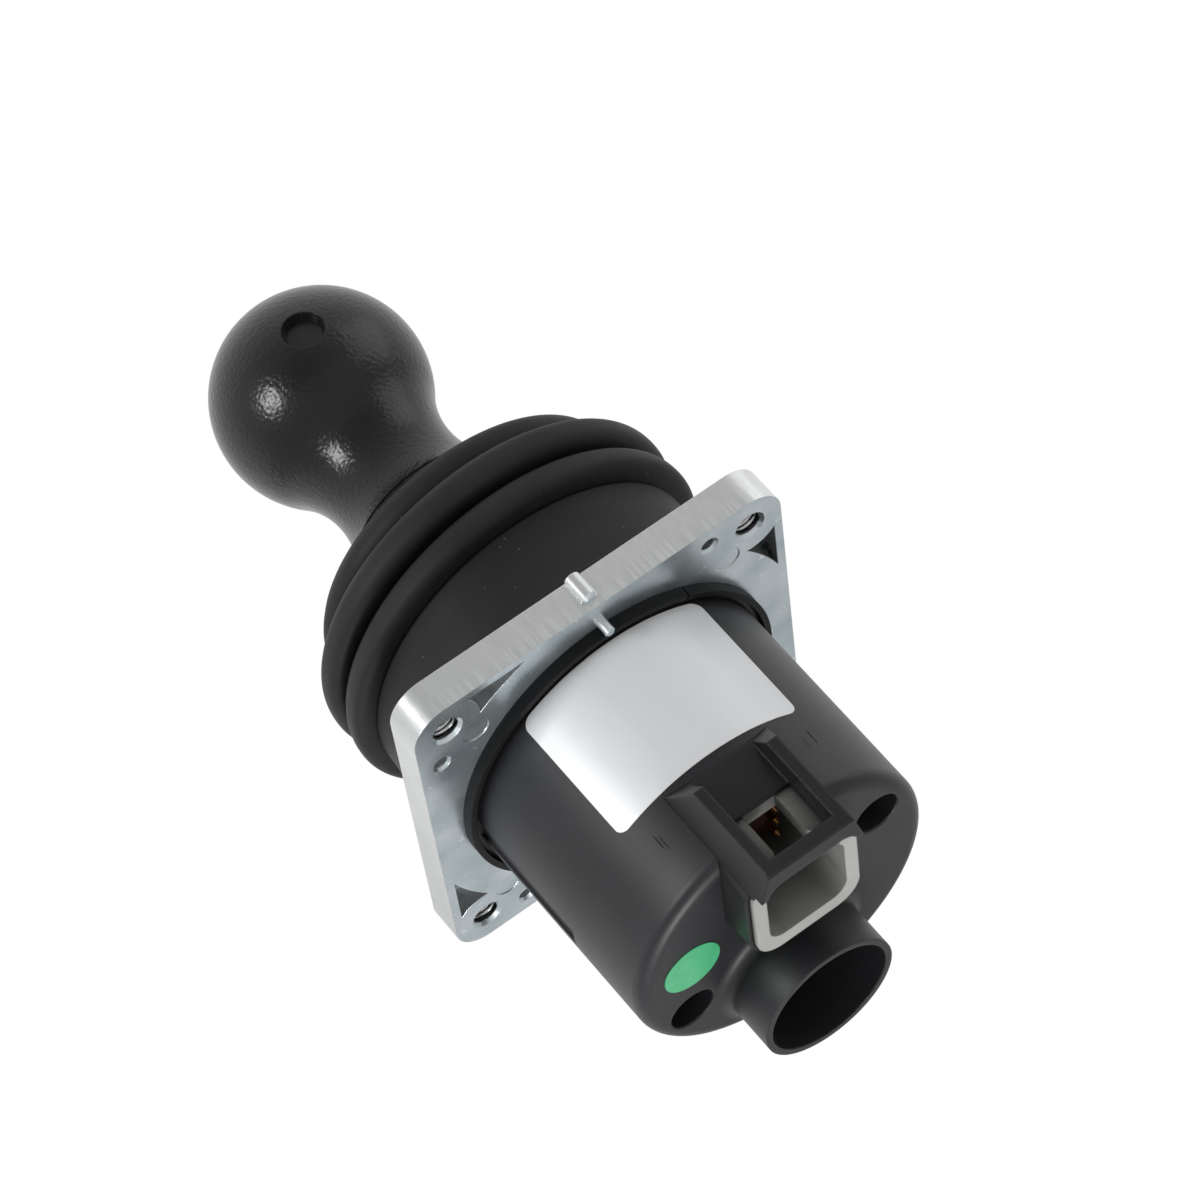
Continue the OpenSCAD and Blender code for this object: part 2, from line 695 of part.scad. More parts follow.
module guard_rails() {
    intersection() {
        translate([0, 0, -rail_end]) linear_extrude(rail_end - rail_start + rail_ramp + cut)
            for (side = [0, 1]) mirror([side, 0]) rail_section();
        rotate([90, 0, 90]) linear_extrude(2 * barrel_r, center = true) guard_side();
    }
    translate([-rail_crest_half + 0.4, -rail_crest, -rail_end])
        cube([2 * rail_crest_half - 0.8, bridge_h, bridge_w]);
    // short ramp up to the sleeve's flat top, between the rails
    rotate([90, 0, 90]) linear_extrude(2 * rail_half_gap + 1, center = true)
        polygon([[-barrel_r + 1.6, -rail_start + rail_ramp], [-sleeve_top, sleeve_start],
                 [-sleeve_top, sleeve_start - 1], [-barrel_r + 1.6, sleeve_start - 1]]);
}

// Clear way past the connector's mouth, with rounded corners under the bridge
module guard_mouth() {
    translate([0, 0, -rail_end - cut]) linear_extrude(rail_end - plug_mouth - 0.3 + cut) {
        translate([0, -rail_crest + bridge_h + plug_h / 2])
            rounded_rect(2 * bridge_half, plug_h, bridge_corner_r);
        translate([-rail_foot_half - cut, -leg_tip]) square([2 * rail_foot_half + 2 * cut, plug_h]);
    }
}

// Outline of the connector body, widened by a margin, from one depth to another
module plug_block(margin, near, far) {
    translate([0, -plug_place, -far]) linear_extrude(far - near)
        rounded_rect(plug_w + 2 * margin, plug_h + 2 * margin, plug_corner_r + margin);
}

module housing() {
    color(cup_black) difference() {
        union() {
            rotate_extrude() barrel_outline();
            // columns over the rear screws
            intersection() {
                opposite_pair(rear_screw_place, rear_screw_angle)
                    translate([0, 0, rear_z + 0.5]) cylinder(r = recess_outer, h = housing_depth - post_end - 0.5);
                translate([0, 0, rear_z]) cylinder(r = cavity_r + 0.4, h = housing_depth);
            }
            // cable tube, with its floor inside and a rounded foot outside
            translate([0, tube_place, -tube_end]) cylinder(r = tube_r, h = tube_end - tube_floor + tube_floor_t);
            tube_foot();
            board_ribs();
        }
        // seat of the plug shroud
        plug_block(sleeve_gap + sleeve_wall, -sleeve_start, sleeve_end);
        opposite_pair(rear_screw_place, rear_screw_angle) {
            translate([0, 0, rear_z - cut]) cylinder(r = recess_r, h = housing_depth - recess_step + cut);
            translate([0, 0, rear_z]) cylinder(r = rear_head_r + head_room, h = housing_depth - recess_seat);
            translate([0, 0, rear_z]) cylinder(r = rear_screw_r + screw_room, h = housing_depth);
            translate([0, 0, rear_z - cut])
                cylinder(r1 = recess_r + edge_break + cut, r2 = recess_r - cut, h = edge_break + 2 * cut);
        }
        translate([0, tube_place, -tube_end - cut]) cylinder(r = tube_bore, h = tube_end - tube_floor + cut);
        // shallow keyway on the -X side
        translate([-barrel_r - cut, -keyway_w / 2 + 1, -keyway_end])
            cube([keyway_depth + cut, keyway_w, keyway_end - plate_t - foot_h]);
    }
}

// Sleeve round the connector, with the latch guard on top, seated in the housing
module plug_shroud() {
    color(cup_black) difference() {
        union() {
            plug_block(sleeve_gap + sleeve_wall, -sleeve_start, sleeve_end);
            difference() {
                guard_rails();
                rotate_extrude() barrel_solid();
            }
        }
        plug_block(sleeve_gap, plug_back, plug_mouth + 0.3);
        // way for the grommet behind the connector
        translate([0, -plug_place, sleeve_start - sleeve_wall - cut]) linear_extrude(2 * cut + sleeve_wall)
            rounded_rect(socket_w - 1.4, socket_h - 1.4, socket_corner_r - 0.7);
        guard_mouth();
        latch_channel();
        translate([0, -rail_crest, -rail_end]) rotate([45, 0, 0])
            cube([2 * barrel_r, sqrt(2) * bridge_break, sqrt(2) * bridge_break], center = true);
    }
}

// Opening between the rails that bares the top of the connector body
module latch_channel() {
    translate([-rail_half_gap, -rail_crest - cut, -rail_end + bridge_w])
        cube([2 * rail_half_gap, rail_crest - plug_top + plug_corner_r + cut,
              rail_end - bridge_w - window_near]);
}

module tube_foot() {
    intersection() {
        translate([0, tube_place, rear_z - tube_fillet]) rotate_extrude() difference() {
            translate([tube_r - 1, 0]) square([tube_fillet + 1, tube_fillet + 1]);
            translate([tube_r + tube_fillet, 0]) circle(tube_fillet);
        }
        translate([0, 0, -tube_end]) cylinder(r = barrel_r - rear_round, h = tube_end);
    }
}

// Ribs that the sensor board rests on
module board_ribs() {
    for (angle = [20, 105, 200, 240])
        rotate([0, 0, angle]) translate([cavity_r - 3, -0.9, rear_z + rear_wall - 0.5])
            cube([3.5, 1.8, housing_depth - rear_wall - board_under + 0.5]);
}

module housing_screws() {
    color(steel) opposite_pair(rear_screw_place, rear_screw_angle)
        translate([0, 0, -recess_seat]) mirror([0, 0, 1])
            cap_screw(rear_screw_r, rear_screw_len, rear_head_r, rear_head_h);
}

module connector_body() {
    color([0.62, 0.62, 0.6]) difference() {
        plug_block(0, plug_back, plug_mouth);
        translate([0, -plug_place, -plug_mouth - cut]) linear_extrude(plug_mouth - socket_floor + cut)
            rounded_rect(socket_w, socket_h, socket_corner_r);
        translate([0, -plug_place, 0]) rotate([90, 0, 0]) linear_extrude(plug_h) latch_slot();
        contact_rows() translate([0, 0, -plug_mouth]) cylinder(r = contact_r + 0.05, h = plug_mouth);
    }
}

// Slot in the connector's top wall: narrow inside, wide at the mouth, with rounded shoulders
module latch_slot() {
    shoulder = 1;
    wide = socket_w / 2 - 0.8;
    translate([-window_half, -window_far]) square([2 * window_half, window_far - window_near]);
    translate([-wide, -plug_mouth - cut]) square([2 * wide, plug_mouth - window_far + cut]);
    for (side = [0, 1]) mirror([side, 0]) difference() {
        translate([window_half - 0.01, -window_far - 0.01]) square([shoulder + 0.01, shoulder + 0.01]);
        translate([window_half + shoulder, -window_far + shoulder]) circle(shoulder);
    }
}

// Places a child at every contact pin
module contact_rows() {
    for (x = [-contact_column, contact_column], row = [-1, 0, 1])
        translate([x, -plug_place + row * contact_pitch, 0]) children();
}

module terminal_lock() {
    color([0.75, 0.16, 0.06]) difference() {
        translate([0, -plug_place, -socket_floor - lock_t]) linear_extrude(lock_t)
            rounded_rect(socket_w - 3, socket_h - 3, 1.2);
        contact_rows() translate([0, 0, -plug_mouth]) cylinder(r = contact_r + 0.05, h = plug_mouth);
    }
}

module connector_grommet() {
    color([0.8, 0.3, 0.12]) difference() {
        translate([0, -plug_place, -plug_back]) linear_extrude(1.8)
            rounded_rect(socket_w - 2, socket_h - 2, 2);
        contact_rows() translate([0, 0, -plug_back - cut]) cylinder(r = contact_r + 0.05, h = 3 + cut);
    }
}

module contact_pins() {
    color(brass) contact_rows() {
        translate([0, 0, -contact_tip + 0.8]) cylinder(r = contact_r, h = contact_tip - 0.8 - board_under);
        translate([0, 0, -contact_tip]) cylinder(r1 = contact_r * 0.45, r2 = contact_r, h = 0.8);
    }
}

module sensor_board() {
    color([0.05, 0.3, 0.16]) translate([0, 0, -board_under]) difference() {
        cylinder(r = board_r, h = board_t);
        opposite_pair(rear_screw_place, rear_screw_angle)
            translate([0, 0, -cut]) cylinder(r = recess_outer + board_gap, h = board_t + 2 * cut);
    }
}

module hall_sensors() {
    color([0.12, 0.12, 0.13]) for (turn = [0:90:270])
        rotate([0, 0, turn]) translate([sensor_place - sensor_w / 2, -sensor_w / 2, -board_top])
            cube([sensor_w, sensor_w, sensor_t]);
}

module board_chips() {
    color([0.15, 0.15, 0.16]) for (angle = [35, 90, 215])
        rotate([0, 0, angle]) translate([board_r * 0.65 - chip_side / 2, -chip_side / 2, -board_top])
            cube([chip_side, chip_side, chip_t]);
}

module board_screws() {
    color(steel) for (angle = [20, 105, 200, 240])
        rotate([0, 0, angle]) translate([cavity_r - board_head_r - 1, 0, -board_top])
            cylinder(r = board_head_r, h = board_head_h);
}

// Half section of the boot: a shell with three folds, foot flange, bead and neck
module boot_fold(i, shrink) {
    translate([fold_place[i], fold_z[i]]) circle(fold_r[i] - shrink);
}

module boot_core(shrink) {
    skirt_top = fold_z[0] - 1;
    union() {
        square([skirt_r - shrink, skirt_top]);
        for (i = [0:2]) {
            boot_fold(i, shrink);
            translate([0, fold_z[i] - fold_r[i] + shrink])
                square([fold_place[i], 2 * (fold_r[i] - shrink)]);
        }
        square([fold_place[2] - 0.6 - shrink, fold_z[2]]);
        polygon([[0, skirt_top], [fold_place[0] - 3.2 - shrink, skirt_top],
                 [fold_place[1] - 3.2 - shrink, fold_z[1]], [0, fold_z[1]]]);
    }
}

module boot() {
    color(rubber_black) rotate_extrude() difference() {
        union() {
            boot_core(0);
            square([foot_flange_r, foot_flange_t + rubber_gap]);
            // neck in the collar's groove
            square([collar_r + 1.8, neck_z + neck_h]);
        }
        difference() {
            boot_core(boot_wall);
            // bead in the neck groove of the plate
            translate([0, foot_flange_t + 2 * rubber_gap])
                square([skirt_r, 1.6]);
        }
        square([groove_r + rubber_gap, 2 * fold_z[2]]);
        square([spigot_r - 1.2 + rubber_gap, spigot_h]);
        square([spigot_r + rubber_gap, foot_flange_t + 2 * rubber_gap]);
        translate([-cut, -cut]) square([foot_flange_r + 2 * cut, cut + rubber_gap]);
        square([collar_r + 1.8, neck_z]);
    }
}

module boot_collar() {
    color(cup_black) rotate_extrude() difference() {
        translate([lever_r, collar_z]) square([collar_r - lever_r, knob_base_z - collar_z]);
        translate([groove_r, neck_z - rubber_gap]) square([collar_r, neck_h + 2 * rubber_gap]);
    }
}

module label() {
    color([0.8, 0.8, 0.81]) rotate([0, 0, -label_turn]) intersection() {
        rotate([0, 0, -92 - label_angle / 2]) translate([0, 0, -label_start - label_h - cut])
            rotate_extrude(angle = label_angle + 4) translate([barrel_r, 0])
                square([label_t, label_h + 2 * cut]);
        translate([0, 0, -label_start - label_h / 2]) rotate([90, 0, 0])
            linear_extrude(barrel_r + 2)
                rounded_rect(2 * barrel_r * sin(label_angle / 2), label_h, label_corner);
    }
}

module inspection_sticker() {
    color([0.12, 0.62, 0.35]) rotate([0, 0, sticker_angle])
        translate([barrel_r - sticker_edge, 0, rear_z - label_t]) cylinder(r = sticker_r, h = label_t);
}

module gimbal_ring() {
    color(zinc) difference() {
        tube(ring_r, ring_bore_r, pivot_z - ring_h / 2, ring_h);
        for (turn = [0, 90])
            rotate([0, 0, turn]) translate([-ring_r - cut, 0, pivot_z]) rotate([0, 90, 0])
                cylinder(r = bush_r, h = 2 * ring_r + 2 * cut);
    }
}

// A pair of bushes in the ring, along X
module bush_pair() {
    bush_len = ring_r - ring_bore_r - 0.9;
    for (side = [0, 180])
        rotate([0, 0, side]) translate([ring_bore_r + 0.4, 0, pivot_z]) rotate([0, 90, 0]) difference() {
            cylinder(r = bush_r, h = bush_len);
            translate([0, 0, -cut]) cylinder(r = bush_bore, h = bush_len + 2 * cut);
        }
}

module pivot_bushes() {
    color(brass) bush_pair();
}

module cross_bushes() {
    color(brass) rotate([0, 0, 90]) bush_pair();
}

module lever_shaft() {
    color(steel) difference() {
        union() {
            translate([0, 0, tail_end_z]) cylinder(r = lever_tail_r, h = pivot_z - tail_end_z);
            translate([0, 0, pivot_z - boss_down]) cylinder(r = boss_r, h = boss_down + boss_up);
            translate([0, 0, pivot_z]) cylinder(r = lever_r, h = lever_top_z - pivot_z - 1);
            translate([0, 0, lever_top_z - 1]) cylinder(r1 = lever_r, r2 = lever_r - 1, h = 1);
        }
        translate([0, boss_r + cut, pivot_z]) rotate([90, 0, 0]) cylinder(r = pin_r, h = 2 * (boss_r + cut));
    }
}

module cross_pin() {
    color(steel) translate([0, ring_r - 0.4, pivot_z]) rotate([90, 0, 0])
        cylinder(r = pin_r, h = 2 * (ring_r - 0.4));
}

module centring_cup() {
    rim = cup_r + cut;
    color([0.82, 0.82, 0.78]) translate([0, 0, pivot_z]) rotate_extrude() difference() {
        union() {
            intersection() {
                difference() {
                    circle(cup_r);
                    circle(cup_inner);
                }
                polygon([[0, 0], [rim * tan(cup_angle), -rim], [0, -rim]]);
            }
            intersection() {
                circle(cup_r);
                translate([0, -cup_r]) square([cup_sleeve_r, cup_r - boss_down - 2]);
            }
        }
        translate([-cup_r, -cup_r - cut]) square([cup_r + lever_tail_r + cup_gap, cup_r + 2 * cut]);
    }
}

// Points on a circle of the spring's wire at one place along the coil
function wire_ring(i, steps, sides, height, place, wire) =
    let (turn = 360 * spring_turns * i / steps, z = height * i / steps)
    [for (k = [0:sides - 1])
        let (reach = place + wire * cos(360 * k / sides))
        [reach * cos(turn), reach * sin(turn), z + wire * sin(360 * k / sides)]];

module centring_spring() {
    steps = ceil(18 * spring_turns);
    sides = 8;
    foot = spring_foot_z + spring_wire_r + 0.1;
    height = washer_z - spring_wire_r - foot;
    points = [for (i = [0:steps]) each wire_ring(i, steps, sides, height, spring_r, spring_wire_r)];
    skin = [for (i = [0:steps - 1], k = [0:sides - 1])
        let (n = (k + 1) % sides)
        [i * sides + k, (i + 1) * sides + k, (i + 1) * sides + n, i * sides + n]];
    first = [for (k = [0:sides - 1]) k];
    last = [for (k = [sides - 1:-1:0]) steps * sides + k];
    color(steel) translate([0, 0, foot]) polyhedron(points, concat([first, last], skin));
}

module spring_washer() {
    color(steel) tube(spring_r + spring_wire_r + 0.4, lever_tail_r + cup_gap, washer_z, washer_t);
}

module magnet_holder() {
    top = pivot_z - holder_near;
    color(cup_black) translate([0, 0, top - holder_len]) difference() {
        cylinder(r = holder_r, h = holder_len);
        translate([0, 0, tail_end_z - top + holder_len]) cylinder(r = lever_tail_r, h = holder_len);
        translate([0, 0, -cut]) cylinder(r = magnet_r, h = magnet_t + cut);
    }
}

module magnet() {
    color([0.55, 0.56, 0.58]) translate([0, 0, pivot_z - holder_near - holder_len])
        cylinder(r = magnet_r, h = magnet_t);
}

module lock_nut() {
    color(steel) translate([0, 0, collar_z - nut_h]) difference() {
        cylinder(r = nut_flats / 2 / cos(30), h = nut_h, $fn = 6);
        translate([0, 0, -cut]) cylinder(r = lever_r, h = nut_h + 2 * cut);
    }
}

// Places a child at the ball's recess, looking out along the child's +Z
module at_dimple() {
    translate([0, 0, ball_z]) rotate([90 - dimple_lift, 0, 0]) children();
}

// Half outline of the knob: ball, concave neck and flared base
module knob_outline() {
    touch_z = ball_z - ball_r * (ball_z - waist_z) / (ball_r + neck_round);
    translate([0, ball_z]) intersection() {
        circle(ball_r);
        translate([0, -ball_r]) square([ball_r, 2 * ball_r]);
    }
    difference() {
        translate([0, knob_base_z]) square([knob_foot_r, touch_z - knob_base_z]);
        translate([waist_r + neck_round, waist_z]) circle(neck_round);
    }
}

module knob() {
    color(rubber_black) difference() {
        rotate_extrude() knob_outline();
        translate([0, 0, knob_base_z - cut]) cylinder(r = lever_r + 0.1, h = insert_z - knob_base_z + 2 * cut);
        translate([0, 0, insert_z]) cylinder(r = insert_r, h = lever_top_z + 1 - insert_z);
        at_dimple() {
            translate([0, 0, ball_r - dimple_depth]) cylinder(r = dimple_floor_r, h = dimple_depth + cut);
            translate([0, 0, ball_r - dimple_sink])
                cylinder(r1 = dimple_floor_r, r2 = dimple_r + cut * dimple_flare, h = dimple_sink + cut);
        }
    }
}

module knob_insert() {
    color(brass) tube(insert_r, lever_r, insert_z, lever_top_z + 1 - insert_z);
}

module knob_plug() {
    color(rubber_black) at_dimple() translate([0, 0, ball_r - dimple_depth])
        cylinder(r = dimple_floor_r, h = dimple_depth - dimple_sink);
}

mounting_plate();
gimbal_carrier();
carrier_screws();
gate_plate();
gate_screws();
pivot_pins();
rim_band();
housing_seal();
housing();
plug_shroud();
housing_screws();
connector_body();
terminal_lock();
connector_grommet();
contact_pins();
sensor_board();
hall_sensors();
board_chips();
board_screws();
boot();
label();
inspection_sticker();
gimbal_ring();
pivot_bushes();
cross_bushes();
lever_shaft();
cross_pin();
centring_cup();
centring_spring();
spring_washer();
magnet_holder();
magnet();
lock_nut();
boot_collar();
knob();
knob_insert();
knob_plug();
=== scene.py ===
import math

import bmesh
import bpy
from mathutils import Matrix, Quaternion, Vector


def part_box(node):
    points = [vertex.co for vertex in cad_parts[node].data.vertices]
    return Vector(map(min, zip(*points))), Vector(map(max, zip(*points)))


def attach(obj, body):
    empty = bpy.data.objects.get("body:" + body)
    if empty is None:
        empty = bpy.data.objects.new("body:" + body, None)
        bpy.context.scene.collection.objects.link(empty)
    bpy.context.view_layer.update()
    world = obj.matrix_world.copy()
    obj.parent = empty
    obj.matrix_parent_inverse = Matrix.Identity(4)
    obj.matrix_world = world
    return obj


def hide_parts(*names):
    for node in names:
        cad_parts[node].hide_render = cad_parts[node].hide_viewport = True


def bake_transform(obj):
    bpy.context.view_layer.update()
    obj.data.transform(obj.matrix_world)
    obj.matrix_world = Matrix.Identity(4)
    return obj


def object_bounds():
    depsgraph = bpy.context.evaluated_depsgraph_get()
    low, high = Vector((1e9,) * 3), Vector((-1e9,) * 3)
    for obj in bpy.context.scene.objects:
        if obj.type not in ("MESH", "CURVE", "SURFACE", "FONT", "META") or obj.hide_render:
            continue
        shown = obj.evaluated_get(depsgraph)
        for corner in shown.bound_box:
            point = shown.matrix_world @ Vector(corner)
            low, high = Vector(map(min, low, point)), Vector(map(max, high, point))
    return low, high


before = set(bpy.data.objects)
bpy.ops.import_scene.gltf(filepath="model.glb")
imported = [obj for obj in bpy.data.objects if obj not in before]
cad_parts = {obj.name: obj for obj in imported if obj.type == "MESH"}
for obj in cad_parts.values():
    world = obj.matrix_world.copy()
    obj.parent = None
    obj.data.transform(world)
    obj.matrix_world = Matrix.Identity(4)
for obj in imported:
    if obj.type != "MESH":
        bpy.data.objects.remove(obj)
cad_lo, cad_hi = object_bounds()
MM = 0.001


# ---------------------------------------------------------------- camera, in metres
CAMERA_PLACE = Vector((-0.2106, -0.7170, -0.3883))
CAMERA_AIM = Vector((0.0103, -0.0089, 0.0101))
CAMERA_ROLL = math.radians(-42.46)

camera = bpy.data.objects.new("camera", bpy.data.cameras.new("camera"))
bpy.context.scene.collection.objects.link(camera)
camera.location = CAMERA_PLACE
looking = (CAMERA_AIM - CAMERA_PLACE).to_track_quat("-Z", "Y")
camera.rotation_mode = "QUATERNION"
camera.rotation_quaternion = looking @ Quaternion((0, 0, 1), CAMERA_ROLL)
camera.data.lens = 146.3
camera.data.sensor_width = 36
camera.data.clip_start = 0.05
camera.data.clip_end = 50
bpy.context.scene.camera = camera
bpy.context.scene.view_settings.view_transform = "Standard"


# ---------------------------------------------------------------- node helpers
def feed(tree, socket, value):
    """Links another node's output to a socket, or sets the socket to a value."""
    if isinstance(value, bpy.types.NodeSocket):
        tree.links.new(value, socket)
    else:
        socket.default_value = value


def add_node(tree, kind, inputs, **settings):
    """A new shader node; its inputs are fed by name or number once its settings are made."""
    node = tree.nodes.new("ShaderNode" + kind)
    for name, value in settings.items():
        setattr(node, name, value)
    for socket, value in inputs.items():
        feed(tree, node.inputs[socket], value)
    return node


def calculate(tree, operation, a, b):
    return add_node(tree, "Math", {0: a, 1: b}, operation=operation).outputs[0]


def rgba(colour):
    return (*colour, 1) if isinstance(colour, tuple) else colour


class Mat:
    """A node material: constants on the shader's own sockets, textures in object space.

    Texture scales are per metre. Lengths, such as a bump's depth, are in millimetres."""

    def __init__(self, name, colour, rough, metal=0.0, spec=0.5):
        self.material = bpy.data.materials.new(name)
        self.material.use_nodes = True
        self.tree = self.material.node_tree
        self.shader = self.tree.nodes["Principled BSDF"]
        self.shade("Base Color", rgba(colour))
        self.shade("Roughness", rough)
        self.shade("Metallic", metal)
        self.shade("Specular IOR Level", spec)
        self.coord = self.add("TexCoord", {}).outputs
        self.tint = None
        self.normal = None

    def shade(self, socket, value):
        feed(self.tree, self.shader.inputs[socket], value)

    def add(self, kind, inputs, **settings):
        return add_node(self.tree, kind, inputs, **settings)

    def place(self, stretch):
        return self.add("Mapping", {"Vector": self.coord["Object"], "Scale": stretch}).outputs["Vector"]

    def noise(self, scale, detail=3.0, rough=0.5, stretch=(1, 1, 1)):
        inputs = {"Vector": self.place(stretch), "Scale": scale, "Detail": detail, "Roughness": rough}
        return self.add("TexNoise", inputs).outputs["Fac"]

    def cells(self, scale):
        inputs = {"Vector": self.place((1, 1, 1)), "Scale": scale}
        return self.add("TexVoronoi", inputs, feature="SMOOTH_F1").outputs["Distance"]

    def ramp(self, value, lo, hi, start=0.0, end=1.0):
        """Runs from start to end as the value goes from lo to hi, and stays there."""
        inputs = {"Value": value, "From Min": lo, "From Max": hi, "To Min": start, "To Max": end}
        return self.add("MapRange", inputs).outputs["Result"]

    def mix(self, share, a, b):
        """A colour between two others; inputs 6 and 7 and output 2 of the Mix node are its colours."""
        return self.add("Mix", {"Factor": share, 6: rgba(a), 7: rgba(b)}, data_type="RGBA").outputs[2]

    def mottle(self, texture, a, b, lo=0.35, hi=0.65):
        """One colour where the texture is low and another where it is high."""
        return self.mix(self.ramp(texture, lo, hi), a, b)

    def colour(self, output):
        self.tint = output
        self.shade("Base Color", output)

    def rough(self, texture, lo, hi):
        self.shade("Roughness", self.ramp(texture, 0.3, 0.7, lo, hi))

    def bend(self, normal):
        self.normal = normal
        self.shade("Normal", normal)

    def soft_edges(self, radius):
        self.bend(self.add("Bevel", {"Radius": radius * MM}, samples=4).outputs["Normal"])

    def bump(self, height, strength, depth):
        inputs = {"Height": height, "Strength": strength, "Distance": depth * MM}
        if self.normal is not None:
            inputs["Normal"] = self.normal
        self.bend(self.add("Bump", inputs).outputs["Normal"])


# ---------------------------------------------------------------- materials
def plastic(name, dark, light, rough, spec=0.5, depth=0.03, edge=0.25):
    """Moulded plastic with a fine grain of the given depth; an edge of 0 leaves edges sharp."""
    m = Mat(name, light, rough, spec=spec)
    if edge:
        m.soft_edges(edge)
    m.colour(m.mottle(m.noise(60, 4), dark, light))
    m.rough(m.noise(25, 5), rough - 0.04, rough + 0.05)
    m.bump(m.noise(1500, 2), 0.5, depth)
    return m


def bare_metal(name, dark, light, rough, stretch=(1, 1, 1), edge=0.2):
    m = Mat(name, light, rough, metal=1.0)
    if edge:
        m.soft_edges(edge)
    m.colour(m.mottle(m.noise(150, 4, stretch=stretch), dark, light))
    m.rough(m.noise(112.5, 4, stretch=stretch), rough - 0.06, rough + 0.08)
    m.bump(m.noise(900, 3, stretch=stretch), 0.4, 0.03)
    return m


def plate_zinc():
    """Die-cast zinc: milled bright sides, a duller cast rear face, shallow pits."""
    m = Mat("cast_zinc", (0.6, 0.61, 0.615), 0.3, metal=0.88)
    m.soft_edges(0.22)
    facing = m.add("SeparateXYZ", {"Vector": m.coord["Normal"]}).outputs
    place = m.add("SeparateXYZ", {"Vector": m.coord["Object"]}).outputs

    # milled sides, with fine cutter marks that are strongest towards the rear edge
    brushed = m.mottle(m.noise(420, 4, stretch=(2.2, 2.2, 0.5)), (0.65, 0.66, 0.655), (0.7, 0.71, 0.705))
    milled = m.mottle(m.noise(45, 4), brushed, (0.66, 0.675, 0.67), 0.4, 0.7)
    fine_lines = m.noise(2100, 1, stretch=(1, 1, 0.03))
    marks = m.mottle(fine_lines, (0.6, 0.61, 0.61), (0.78, 0.79, 0.79), 0.42, 0.62)
    scored = m.mix(m.ramp(place["Z"], -2.8 * MM, -5.6 * MM, 0.0, 0.55), milled, marks)

    # painted shade: the left side is darkened, and more so away from the socket's side
    leftward = m.ramp(facing["X"], -0.6, -0.9)
    painted_shade_along_y = m.ramp(place["Y"], -30 * MM, 36 * MM, 0.25, 0.75)
    sides = m.mix(calculate(m.tree, "MULTIPLY", leftward, painted_shade_along_y), scored, (0.34, 0.355, 0.36))

    # the rear face, as cast, with bright flecks
    cast = m.mottle(m.noise(120, 6), (0.52, 0.6, 0.63), (0.7, 0.77, 0.8), 0.35, 0.7)
    flecks = m.ramp(m.noise(620, 2), 0.67, 0.72, 0.0, 0.8)
    rear = m.mix(flecks, cast, (0.86, 0.9, 0.92))

    m.colour(m.mix(m.ramp(facing["Z"], -0.35, -0.8), sides, rear))
    m.rough(m.noise(160, 5), 0.25, 0.35)
    m.bump(m.noise(1500, 3, stretch=(1.6, 1.6, 0.3)), 0.2, 0.03)
    m.bump(m.noise(260, 4), 0.4, 0.09)
    return m


def thread_zinc_shaded_roots():
    """A thread cut in zinc: the crests are bright and the roots are painted dark as shade."""
    m = Mat("cut_thread_shaded_roots", (0.6, 0.6, 0.6), 0.25, metal=1.0)
    flat = m.add("VectorMath", {0: m.coord["Object"], 1: (1, 1, 0)}, operation="MULTIPLY").outputs[0]
    from_axis = m.add("VectorMath", {0: flat}, operation="LENGTH").outputs["Value"]
    # painted shade: the colour runs from bright at the crests to near black at the roots
    m.colour(m.mottle(from_axis, (0.75, 0.75, 0.75), (0.05, 0.055, 0.055), 2.25 * MM, 2.38 * MM))
    m.rough(m.noise(900, 3), 0.2, 0.34)
    m.bump(m.noise(1500, 2), 0.3, 0.02)
    return m


def liner_grey_painted_shade():
    """Light grey plastic, with painted shade that darkens it down inside the socket."""
    m = plastic("liner_grey_painted_shade", (0.35, 0.35, 0.335), (0.41, 0.41, 0.395), 0.42,
                spec=0.4, depth=0.02, edge=0.4)
    # painted shade: ambient occlusion turns the grey to near black in the socket's hollows
    occlusion_shade = m.add("AmbientOcclusion", {"Distance": 14 * MM}, samples=6).outputs["AO"]
    m.colour(m.mottle(occlusion_shade, (0.035, 0.034, 0.031), m.tint, 0.42, 0.92))
    return m


def pebbled_black():
    """The knob's glossy black plastic, pebbled all over."""
    m = Mat("knob_black", (0.012, 0.012, 0.012), 0.25, spec=0.38)
    m.soft_edges(0.4)
    m.colour(m.mottle(m.noise(90, 3), (0.007, 0.007, 0.0075), (0.011, 0.011, 0.0115)))
    m.rough(m.noise(40, 4), 0.22, 0.28)
    m.bump(m.cells(1400), 0.6, 0.12)
    m.bump(m.noise(700, 2), 0.3, 0.05)
    return m


def boot_rubber():
    """Matt rubber with a little dust on it."""
    m = Mat("boot_rubber", (0.02, 0.02, 0.02), 0.6, spec=0.26)
    clean = m.mottle(m.noise(55, 4), (0.011, 0.0115, 0.011), (0.016, 0.0165, 0.016))
    m.colour(m.mottle(m.noise(1400, 1.0, 0.3), clean, (0.1, 0.1, 0.095), 0.79, 0.83))
    m.rough(m.noise(35, 5), 0.52, 0.66)
    m.bump(m.noise(1300, 3), 0.35, 0.03)
    return m


def silver_film():
    m = Mat("silver_film", (0.8, 0.81, 0.82), 0.36, metal=0.15)
    m.colour(m.mottle(m.noise(50, 4, stretch=(1, 1, 0.2)), (0.76, 0.77, 0.78), (0.84, 0.85, 0.86)))
    m.rough(m.noise(220, 3), 0.32, 0.4)
    m.bump(m.noise(70, 3), 0.2, 0.05)
    return m


def green_film():
    m = Mat("green_film", (0.06, 0.4, 0.18), 0.34)
    m.colour(m.mottle(m.noise(300, 4), (0.055, 0.4, 0.17), (0.075, 0.45, 0.21)))
    m.rough(m.noise(400, 3), 0.3, 0.4)
    m.bump(m.noise(500, 2), 0.3, 0.02)
    return m


